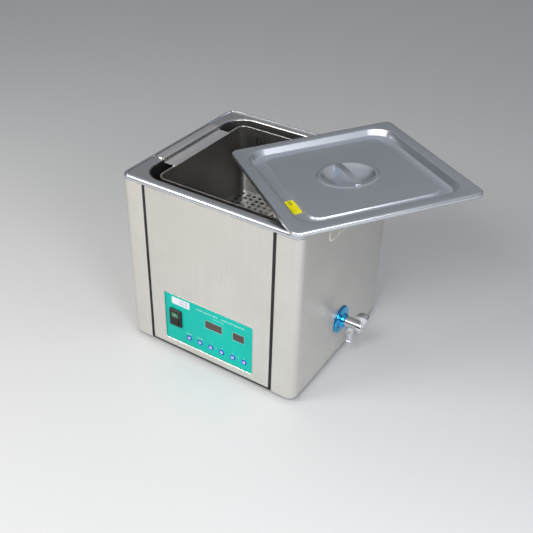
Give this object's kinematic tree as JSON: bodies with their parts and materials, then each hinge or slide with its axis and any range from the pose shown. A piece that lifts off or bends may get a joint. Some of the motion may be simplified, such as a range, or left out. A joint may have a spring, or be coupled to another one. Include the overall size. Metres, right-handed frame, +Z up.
{
  "type": "ultrasonic cleaner",
  "caption": "Bench ultrasonic cleaner: square steel tank cabinet with hanging basket, loose recessed lid, front key panel and side drain valve.",
  "frame": {"origin": "centre of the base plate's underside; the feet reach 10 mm below it", "axes": "+Z up, the control panel faces -Y, the drain valve points to +X"},
  "size_m": [0.5787, 0.4646, 0.4119],
  "materials": {
    "satin_steel": "fine satin stainless steel",
    "cabinet_steel": "brushed stainless cabinet sheet",
    "polished_steel": "polished stainless sheet",
    "chrome": "polished chrome plate",
    "blue_enamel": "gloss blue enamel",
    "black_plastic": "moulded black plastic",
    "black_rubber": "matt black rubber",
    "panel_green": "printed overlay, blue-green",
    "display_glass": "dark red display window",
    "key_blue": "domed key film",
    "cup_cream": "moulded cream plastic",
    "board_green": "circuit board",
    "cast_metal": "as-cast and turned metal",
    "silicone_red": "silicone heater pad",
    "winding": "lacquered copper winding",
    "foil": "blank anodised plate",
    "label_yellow": "blank adhesive label"
  },
  "bodies": {
    "root": {"back_panel": "cabinet_steel", "base_plate": "cast_metal", "control_board": "board_green", "control_panel": "panel_green", "display_left": "display_glass", "display_right": "display_glass", "drain_pipe": "cast_metal", "fan_frame": "black_plastic", "fan_guard": "black_plastic", "foot_front_left": "black_rubber", "foot_front_right": "black_rubber", "foot_rear_left": "black_rubber", "foot_rear_right": "black_rubber", "front_panel": "cabinet_steel", "generator_board": "board_green", "grip_cup_left": "cup_cream", "grip_cup_right": "cup_cream", "groove_strip_left": "black_rubber", "groove_strip_right": "black_rubber", "heating_pad_left": "silicone_red", "heating_pad_right": "silicone_red", "panel_tray": "polished_steel", "power_inlet": "black_plastic", "rating_plate": "foil", "side_shell_left": "cabinet_steel", "side_shell_right": "cabinet_steel", "switch_bezel": "black_plastic", "tank": "satin_steel", "temperature_sensor": "cast_metal", "top_frame": "cabinet_steel", "transducer_front_left": "cast_metal", "transducer_front_right": "cast_metal", "transducer_rear_left": "cast_metal", "transducer_rear_right": "cast_metal", "transformer": "winding", "valve_body": "chrome", "valve_escutcheon": "blue_enamel", "valve_spout": "chrome"},
    "basket": {"basket_walls": "satin_steel", "basket_tray": "satin_steel", "basket_handle_left": "satin_steel", "basket_handle_right": "satin_steel"},
    "lid": {"lid_sheet": "polished_steel", "lid_handle": "polished_steel", "lid_label": "label_yellow"},
    "rocker": {"switch_rocker": "black_plastic"},
    "valve_lever": {"valve_handle": "chrome"},
    "fan": {"fan_rotor": "black_plastic"},
    "fuse": {"fuse_drawer": "black_plastic"},
    "key1": {"key_1": "key_blue"},
    "key2": {"key_2": "key_blue"},
    "key3": {"key_3": "key_blue"},
    "key4": {"key_4": "key_blue"},
    "key5": {"key_5": "key_blue"},
    "key6": {"key_6": "key_blue"}
  },
  "joints": [
    {"name": "basket_lift", "type": "slide", "parent": "root", "child": "basket", "axis": [0, 0, 1], "range_m": [0, 0.25]},
    {"name": "lid_lift", "type": "slide", "parent": "basket", "child": "lid", "axis": [0, 0, 1], "range_m": [0, 0.15]},
    {"name": "power_rocker", "type": "hinge", "parent": "root", "child": "rocker", "pos_m": [-0.077, -0.1695, 0.075], "axis": [1, 0, 0], "range_deg": [0, 18]},
    {"name": "valve_turn", "type": "hinge", "parent": "root", "child": "valve_lever", "pos_m": [0.226, 0.002, 0.075], "axis": [1, 0, 0], "range_deg": [0, 90]},
    {"name": "fan_spin", "type": "hinge", "parent": "root", "child": "fan", "pos_m": [0.085, 0.155, 0.085], "axis": [0, 1, 0], "continuous": true},
    {"name": "fuse_slide", "type": "slide", "parent": "root", "child": "fuse", "axis": [0, 1, 0], "range_m": [0, 0.018]},
    {"name": "key1_press", "type": "slide", "parent": "root", "child": "key1", "axis": [0, 1, 0], "range_m": [0, 0.0005], "stiffness_N_per_m": 300},
    {"name": "key2_press", "type": "slide", "parent": "root", "child": "key2", "axis": [0, 1, 0], "range_m": [0, 0.0005], "stiffness_N_per_m": 300},
    {"name": "key3_press", "type": "slide", "parent": "root", "child": "key3", "axis": [0, 1, 0], "range_m": [0, 0.0005], "stiffness_N_per_m": 300},
    {"name": "key4_press", "type": "slide", "parent": "root", "child": "key4", "axis": [0, 1, 0], "range_m": [0, 0.0005], "stiffness_N_per_m": 300},
    {"name": "key5_press", "type": "slide", "parent": "root", "child": "key5", "axis": [0, 1, 0], "range_m": [0, 0.0005], "stiffness_N_per_m": 300},
    {"name": "key6_press", "type": "slide", "parent": "root", "child": "key6", "axis": [0, 1, 0], "range_m": [0, 0.0005], "stiffness_N_per_m": 300}
  ]
}
